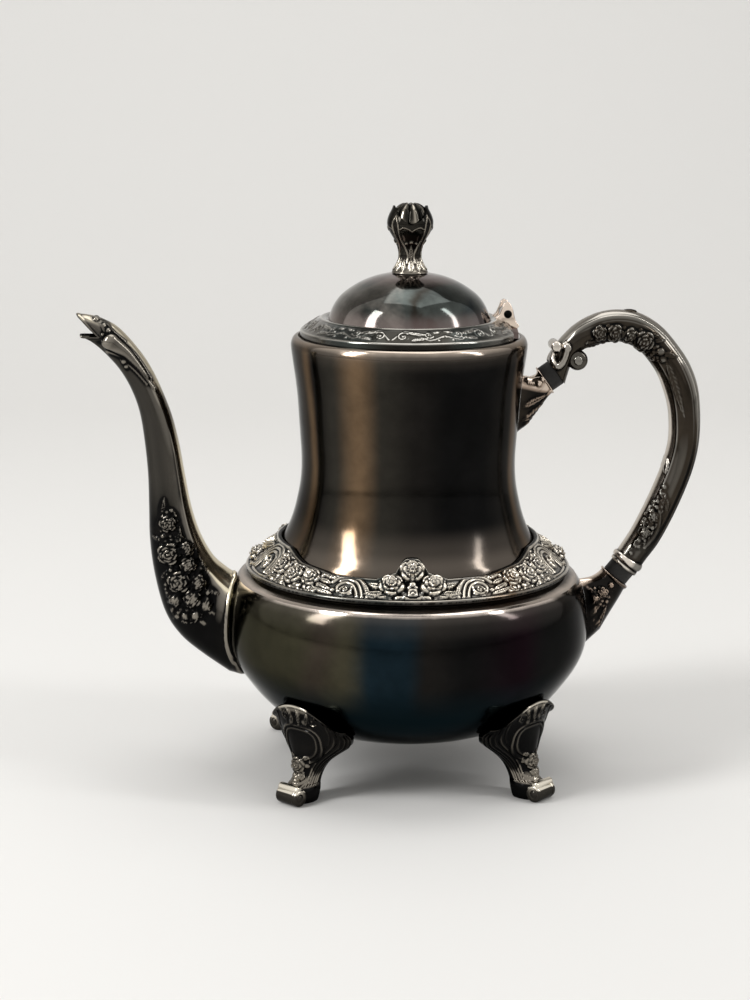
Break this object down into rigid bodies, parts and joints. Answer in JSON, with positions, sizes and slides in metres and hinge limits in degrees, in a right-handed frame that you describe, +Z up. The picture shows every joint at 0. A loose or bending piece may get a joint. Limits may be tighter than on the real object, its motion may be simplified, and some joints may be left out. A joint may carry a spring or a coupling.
{
  "type": "coffee pot",
  "caption": "Round-bellied coffee pot on cast feet with a tall waisted neck, swan-neck spout, insulated loop handle and a hinged domed lid with a rosebud finial",
  "frame": {"origin": "centre of the bounding box in X and Y, on the table plane under the feet", "axes": "+Z up, the spout points to -X, the handle and the lid hinge are at +X, the pot's plane of symmetry is Y = 0"},
  "size_m": [0.2936, 0.172, 0.27],
  "materials": {
    "silver": "polished silver plate under a dark, uneven tarnish",
    "insulator": "black heat-insulating disc, matt"
  },
  "bodies": {
    "pot": {"bowl": "silver", "neck": "silver", "mouth_ring": "silver", "shoulder_band": "silver", "spout_front_half": "silver", "spout_rear_half": "silver", "handle_front_half": "silver", "handle_rear_half": "silver", "upper_socket": "silver", "lower_socket": "silver", "hinge_bracket": "silver", "hinge_pin": "silver", "foot_front_left": "silver", "foot_front_right": "silver", "foot_rear_left": "silver", "foot_rear_right": "silver", "upper_insulator": "insulator", "lower_insulator": "insulator"},
    "lid": {"lid_hinge": "silver", "lid_dome": "silver", "lid_border": "silver", "lid_collar": "silver", "finial": "silver", "finial_washer": "silver", "finial_nut": "silver"}
  },
  "joints": [
    {"name": "lid_hinge_turn", "type": "hinge", "parent": "pot", "child": "lid", "pos_m": [0.05305, 0, 0.2191], "axis": [0, 1, 0], "range_deg": [0, 105]}
  ]
}
